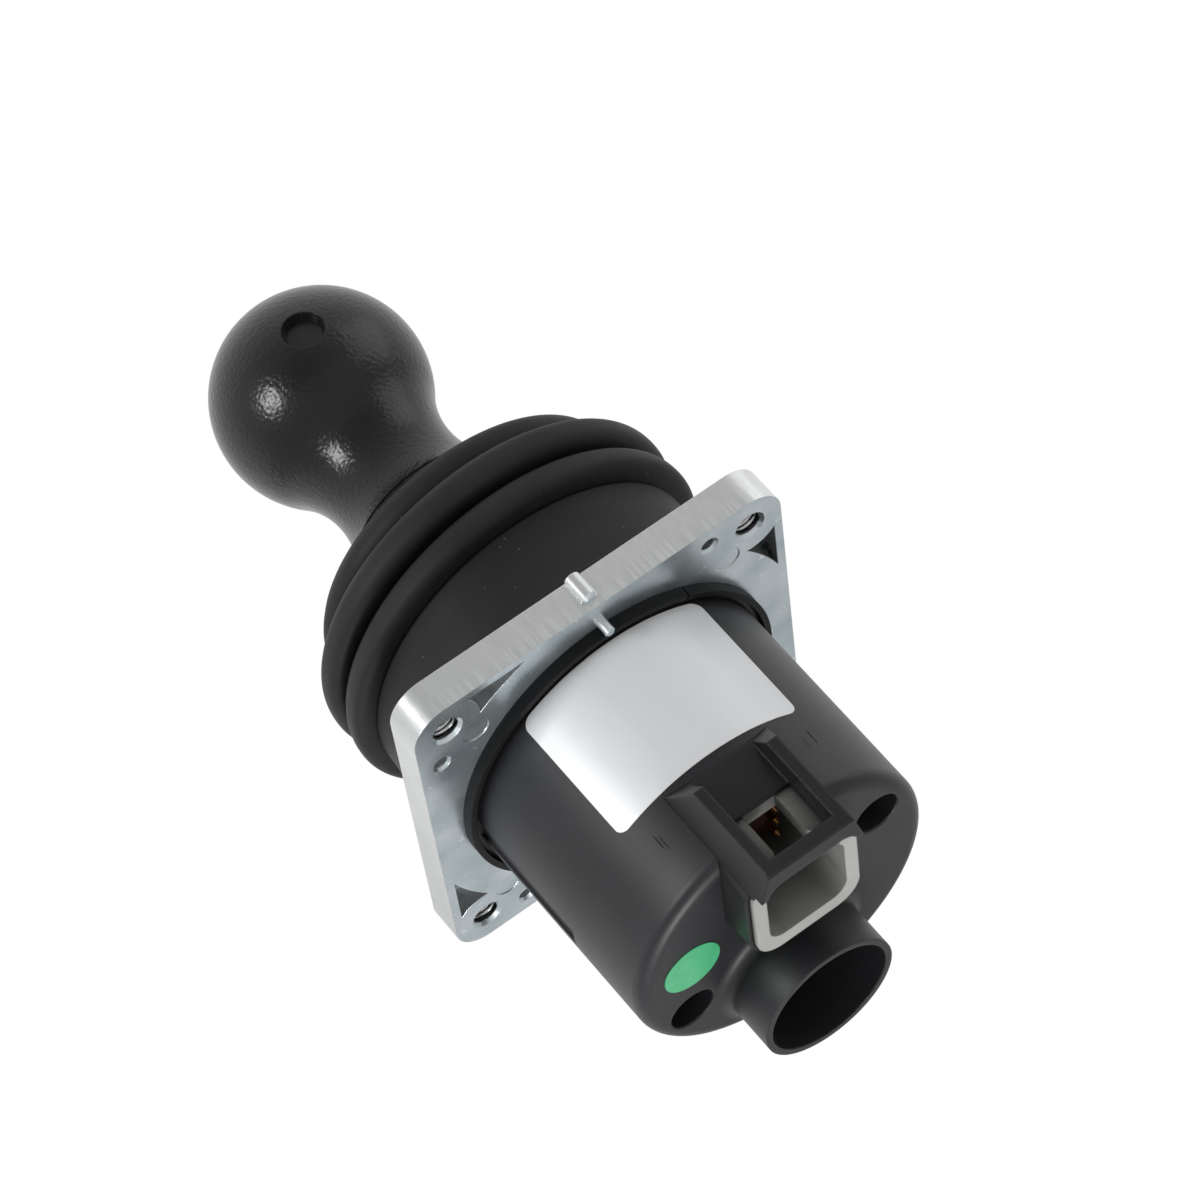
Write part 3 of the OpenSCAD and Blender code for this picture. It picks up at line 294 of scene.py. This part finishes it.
def floor_white():
    m = Mat("floor_white", (0.86, 0.86, 0.86), 0.7, spec=0.3)
    m.colour(m.mottle(m.noise(0.7, 2), (0.84, 0.84, 0.84), (0.88, 0.88, 0.88), 0.3, 0.7))
    return m


gimbal_zinc = bare_metal("gimbal_zinc", (0.42, 0.43, 0.44), (0.56, 0.57, 0.58), 0.42)
steel = bare_metal("turned_steel", (0.5, 0.51, 0.52), (0.62, 0.63, 0.64), 0.28, stretch=(1, 1, 12))
brass = bare_metal("turned_brass", (0.62, 0.43, 0.18), (0.78, 0.58, 0.28), 0.28)
# painted shade: the contacts are coloured much darker than bare gold, for the shade inside the socket
gold = bare_metal("gold_contact", (0.3, 0.15, 0.05), (0.42, 0.22, 0.08), 0.2, edge=0)
nickel = bare_metal("plated_magnet", (0.5, 0.5, 0.5), (0.62, 0.61, 0.6), 0.2)

case_black = plastic("case_black", (0.0115, 0.012, 0.014), (0.0165, 0.017, 0.0195), 0.43,
                     spec=0.38, depth=0.02, edge=0.5)
shroud_black = plastic("shroud_black", (0.009, 0.009, 0.0105), (0.013, 0.013, 0.0145), 0.38,
                       spec=0.34, depth=0.02, edge=0.7)
band_black = plastic("band_black", (0.004, 0.004, 0.0045), (0.007, 0.007, 0.008), 0.55, spec=0.22)
inner_black = plastic("inner_black", (0.014, 0.014, 0.014), (0.02, 0.02, 0.02), 0.5)
plug_black = plastic("plug_black", (0.006, 0.006, 0.006), (0.01, 0.01, 0.01), 0.3, spec=0.35, depth=0.01)
# painted shadow: a near-black plastic for the ring that stands in for the shadow in the gap at the knob's
# foot
shadow_gap_black = plastic("shadow_gap_black", (0.0015, 0.0015, 0.0015), (0.003, 0.003, 0.003), 0.8, spec=0.1, edge=0)
chip_black = plastic("chip_black", (0.018, 0.018, 0.018), (0.026, 0.026, 0.026), 0.55, edge=0.1)
ivory = plastic("ivory_acetal", (0.66, 0.64, 0.56), (0.74, 0.72, 0.65), 0.45)
# painted shade: the orange lock is coloured a deep brown-red, far darker than its own orange, for the shade
# inside the socket
lock_orange_shaded = plastic("lock_orange_shaded", (0.009, 0.003, 0.002), (0.016, 0.0045, 0.003), 0.45,
                      spec=0.15, depth=0.02)
seal_rubber = plastic("seal_rubber", (0.3, 0.07, 0.025), (0.4, 0.1, 0.04), 0.6, spec=0.3)
board_green = plastic("board_green", (0.01, 0.12, 0.05), (0.015, 0.16, 0.07), 0.35, edge=0)
rubber = boot_rubber()

DRESS = {
    "mounting_plate": plate_zinc(), "gimbal_carrier": inner_black, "carrier_screws": steel,
    "gate_plate": steel, "gate_screws": steel, "pivot_pins": steel, "rim_band": band_black,
    "housing_seal": seal_rubber, "housing": case_black, "plug_shroud": shroud_black,
    "housing_screws": steel, "connector_body": liner_grey_painted_shade(), "terminal_lock": lock_orange_shaded,
    "connector_grommet": seal_rubber, "contact_pins": gold, "sensor_board": board_green,
    "hall_sensors": chip_black, "board_chips": chip_black, "board_screws": steel,
    "label": silver_film(), "inspection_sticker": green_film(), "gimbal_ring": gimbal_zinc,
    "pivot_bushes": brass, "cross_bushes": brass, "lever_shaft": steel, "cross_pin": steel,
    "centring_cup": ivory, "centring_spring": steel, "spring_washer": steel,
    "magnet_holder": inner_black, "magnet": nickel, "lock_nut": steel, "boot_collar": inner_black,
    "knob": pebbled_black(), "knob_insert": brass, "knob_plug": plug_black, "boot": rubber}
for name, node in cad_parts.items():
    node.data.materials.clear()
    node.data.materials.append(DRESS[name].material)


# ---------------------------------------------------------------- mesh helpers, in millimetres
def piece(name, bm, mat):
    mesh = bpy.data.meshes.new(name)
    bmesh.ops.recalc_face_normals(bm, faces=bm.faces)
    bm.to_mesh(mesh)
    bm.free()
    for face in mesh.polygons:
        face.use_smooth = True
    mesh.materials.append(mat.material)
    o = bpy.data.objects.new(name, mesh)
    bpy.context.scene.collection.objects.link(o)
    return o


def angles(start, end, steps):
    """Evenly spaced angles in radians, from one to another given in degrees."""
    return [math.radians(start + (end - start) * i / steps) for i in range(steps + 1)]


def arc(x, z, r, start, end, steps):
    """Points of a half section on a circle."""
    return [(x + r * math.cos(a), z + r * math.sin(a)) for a in angles(start, end, steps)]


def soften(points, rounds):
    """Cuts the corners of an open line, leaving its ends."""
    for _ in range(rounds):
        cut = [points[0]]
        for (ax, az), (bx, bz) in zip(points, points[1:]):
            cut.append((0.75 * ax + 0.25 * bx, 0.75 * az + 0.25 * bz))
            cut.append((0.25 * ax + 0.75 * bx, 0.25 * az + 0.75 * bz))
        points = cut + [points[-1]]
    return points


def join_rows(bm, a, b):
    """Faces between two closed rows of as many points."""
    for j in range(len(a)):
        k = (j + 1) % len(a)
        bm.faces.new((a[j], b[j], b[k], a[k]))


def turned(section, steps, shift=lambda z: 0.0):
    """A closed half section turned about the axis; shift(z) moves a height along X."""
    bm = bmesh.new()
    rings = []
    for i in range(steps):
        a = 2 * math.pi * i / steps
        rings.append([bm.verts.new(((r * math.cos(a) + shift(z)) * MM, r * math.sin(a) * MM, z * MM))
                      for r, z in section])
    for i in range(steps):
        join_rows(bm, rings[i], rings[(i + 1) % steps])
    return bm


# ---------------------------------------------------------------- rubber boot
# two pieces: the skirt and the folds meet in the groove under the lowest fold
SEAM = 17.95
SEAM_GAP = 0.05      # between the two pieces
STILL = 0.2          # beside the seam
BEND_FOOT = 2.2
BEND_TOP = 40.5
BOOT_STEPS = 192
ACROSS = 0.76        # powers that square off a fold's oval
ALONG = 0.86


def fold(x, z, out, up, down, start, end, steps=24):
    """A fold's section: part of a squared oval, taller above its widest point than below."""
    points = []
    for a in angles(start, end, steps):
        c, s = math.cos(a), math.sin(a)
        width = out * math.copysign(abs(c) ** ACROSS, c)
        height = (up if s > 0 else down) * math.copysign(abs(s) ** ALONG, s)
        points.append((x + width, z + height))
    return points


def clamp(t):
    return max(0.0, min(1.0, t))


def lean(z):
    """The folds lean a little to the right of the lever, as on a boot that has been handled."""
    rise = 0.7 * clamp((z - 8) / 12) + 0.03 * max(0.0, z - 20)
    fall = clamp((z - 39.4) / 0.9)
    return rise * (1 - fall)


foot = soften([(37.2, 0.4), (37.2, 1.7), (35.2, 2.0), (34.4, 3.0), (34.0, 7.5), (33.5, 13.0)], 3)
shoulder = soften(arc(32.7, 17.1, 0.8, 0, 64, 6) + [(33.0, SEAM - SEAM_GAP)], 1)
skirt_inside = [(31.0, SEAM), (30.9, 16.8), (31.6, 12.0), (32.6, 3.0), (31.9, 2.0), (31.9, 0.4)]
skirt = foot + shoulder + [(32.6, SEAM)] + skirt_inside

groove = [(33.0, SEAM + SEAM_GAP), (33.6, 18.02)]
low_fold = fold(33.1, 20.3, 3.95, 4.1, 2.2, -74, 84)
valley = [(32.2, 24.3), (30.4, 24.9), (31.0, 25.5)]
mid_fold = fold(33.2, 28.2, 3.8, 4.0, 2.6, -84, 116)
crease = [(30.6, 31.1), (29.9, 31.6)]
top_fold = arc(27.9, 36.5, 3.55, -58, 100, 24)
crown = [(25.2, 39.9), (20.0, 39.9), (15.9, 39.7)]
neck = [(15.9, 40.3), (14.4, 40.3)]
folds_outside = soften(groove + low_fold + valley + mid_fold + crease + top_fold + crown, 1) + neck
folds_inside = [(14.4, 38.3), (20.0, 38.2), (25.6, 38.2), (27.6, 37.6), (28.0, 35.4), (27.9, 33.0),
                (28.7, 30.8), (30.4, 29.7), (33.0, 30.0), (34.4, 28.6), (33.0, 27.2), (29.4, 26.2),
                (28.8, 25.0), (29.2, 23.6), (31.4, 21.6), (31.3, 18.8), (31.0, SEAM + SEAM_GAP)]
folds = [(32.6, SEAM + SEAM_GAP)] + folds_outside + folds_inside

for name, section, bodies, low, high in (
        ("boot_lower", skirt, ("base", "gimbal"), BEND_FOOT, SEAM - STILL),
        ("boot_upper", folds, ("gimbal", "lever"), SEAM + STILL, BEND_TOP)):
    o = piece(name, turned(section, BOOT_STEPS, lean), rubber)
    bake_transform(o)
    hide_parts("boot")


# ---------------------------------------------------------------- screw threads in the plate's corners
HOLE_R = 2.5
HOLE_INSET = 6.6     # from the plate's sides
THREAD_DEPTH = 0.34
THREAD_PITCH = 0.75
THREAD_REAR = -6.1
THREAD_FRONT = -0.6


def thread(radius, depth, pitch, z0, z1, steps=28):
    """A helical ridge that stands in from a hole's wall and fades out over its first and last turn."""
    bm = bmesh.new()
    count = int((z1 - z0) / pitch * steps)
    ridge = [(0.1, -0.5), (-0.03, -0.5), (-depth, -0.08), (-depth, 0.08), (-0.03, 0.5), (0.1, 0.5)]
    rows = []
    for i in range(count + 1):
        a = 2 * math.pi * i / steps
        z = z0 + pitch * i / steps
        fade = min(1.0, i / steps, (count - i) / steps)
        row = []
        for out, h in ridge:
            r = radius + out * (fade if out < 0 else 1)
            row.append(bm.verts.new((r * math.cos(a) * MM, r * math.sin(a) * MM, (z + h * pitch) * MM)))
        rows.append(row)
    for a, b in zip(rows, rows[1:]):
        join_rows(bm, a, b)
    for end in (rows[0], rows[-1]):
        bm.faces.new(end)
    return bm


thread_mat = thread_zinc_shaded_roots()
hole_place = -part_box("mounting_plate")[0].x - HOLE_INSET * MM
for tag, x_side, y_side in (("a", -1, -1), ("b", 1, -1), ("c", 1, 1), ("d", -1, 1)):
    ridge = thread(HOLE_R, THREAD_DEPTH, THREAD_PITCH, THREAD_REAR, THREAD_FRONT)
    o = piece("panel_thread_" + tag, ridge, thread_mat)
    o.location = (x_side * hole_place, y_side * hole_place, 0)
    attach(o, "base")


# ---------------------------------------------------------------- a dark ring of painted shadow in the gap round the knob's foot
LINE_R = 15.93
LINE_Z = 48.3
LINE_THICK = 0.19

o = piece("knob_foot_shadow_ring", turned(arc(LINE_R, LINE_Z, LINE_THICK, 0, 324, 9), 160), shadow_gap_black)
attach(o, "lever")


# ---------------------------------------------------------------- moulding marks on the barrel
MARK_X = 15.8        # to each side
MARK_Z = -43.6
MARK_LENGTH = 3.0
MARK_WIDTH = 0.22
MARK_HEIGHT = 0.06


def mark(length, width, height, steps=8):
    """A thin raised line along Z with tapered ends and a rounded top."""
    bm = bmesh.new()
    across = ((-1, -0.6), (-0.7, 0.7), (0, 1.0), (0.7, 0.7), (1, -0.6))
    rows = []
    for i in range(steps + 1):
        along = i / steps
        half = width / 2 * math.sin(math.pi * max(0.06, min(0.94, along))) ** 0.4
        z = (along - 0.5) * length
        rows.append([bm.verts.new((half * x * MM, -height * h * MM, z * MM)) for x, h in across])
    for a, b in zip(rows, rows[1:]):
        join_rows(bm, a, b)
    for end in (rows[0], rows[-1]):
        bm.faces.new(end)
    return bm


barrel_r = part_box("housing")[1].x / MM
for tag, x in (("left", -MARK_X), ("right", MARK_X)):
    o = piece("barrel_mark_" + tag, mark(MARK_LENGTH, MARK_WIDTH, MARK_HEIGHT), band_black)
    o.location = (x * MM, -math.sqrt(barrel_r ** 2 - x * x) * MM, MARK_Z * MM)
    o.rotation_euler = (0, 0, math.asin(x / barrel_r))
    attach(o, "base")


# ---------------------------------------------------------------- light and surroundings, in metres
# the room is white to the camera and all round, but darker on the side where the photographer stands
PHOTOGRAPHER = (-0.262, -0.845, -0.476)
DARK_SIDE = 0.31
SOFTENED = 0.7       # the room's strength for light that isn't a reflection
FLOOR_Z = -0.9

world = bpy.data.worlds.new("studio")
bpy.context.scene.world = world
world.use_nodes = True
sky = world.node_tree
path = add_node(sky, "LightPath", {}).outputs
around = add_node(sky, "TexCoord", {}).outputs["Generated"]
towards = add_node(sky, "VectorMath", {0: around, 1: PHOTOGRAPHER}, operation="DOT_PRODUCT").outputs
dimming = {"From Min": -0.5, "From Max": 1.0, "To Min": 1.0, "To Max": DARK_SIDE}
room_node = add_node(sky, "MapRange", {"Value": towards["Value"], **dimming}, interpolation_type="SMOOTHSTEP")
room = room_node.outputs["Result"]
lit = calculate(sky, "MULTIPLY", room, calculate(sky, "MAXIMUM", path["Is Glossy Ray"], SOFTENED))
seen = calculate(sky, "MAXIMUM", path["Is Camera Ray"], path["Is Transmission Ray"])
background = sky.nodes["Background"].inputs
feed(sky, background["Color"], (1, 1, 1, 1))
feed(sky, background["Strength"], calculate(sky, "MAXIMUM", lit, seen))


def lamp(name, direction, distance, width, watts):
    """A square lamp that faces the object's middle."""
    o = bpy.data.objects.new(name, bpy.data.lights.new(name, "AREA"))
    bpy.context.scene.collection.objects.link(o)
    d = Vector(direction).normalized()
    o.location = (cad_lo + cad_hi) / 2 + d * distance
    o.rotation_mode = "QUATERNION"
    o.rotation_quaternion = d.to_track_quat("Z", "Y")
    o.data.size = width
    o.data.energy = watts
    o.visible_camera = False


lamp("key_left", (-0.80, -0.57, 0.17), 0.9, 0.24, 3.6)
lamp("key_low", (-0.39, 0.14, -0.90), 0.75, 0.21, 2.8)
lamp("fill_right", (0.85, -0.5, 0.1), 1.4, 1.0, 2.8)

bm = bmesh.new()
bmesh.ops.create_grid(bm, x_segments=8, y_segments=8, size=6)
floor = piece("floor", bm, floor_white())
floor.location = (0, 0, FLOOR_Z)
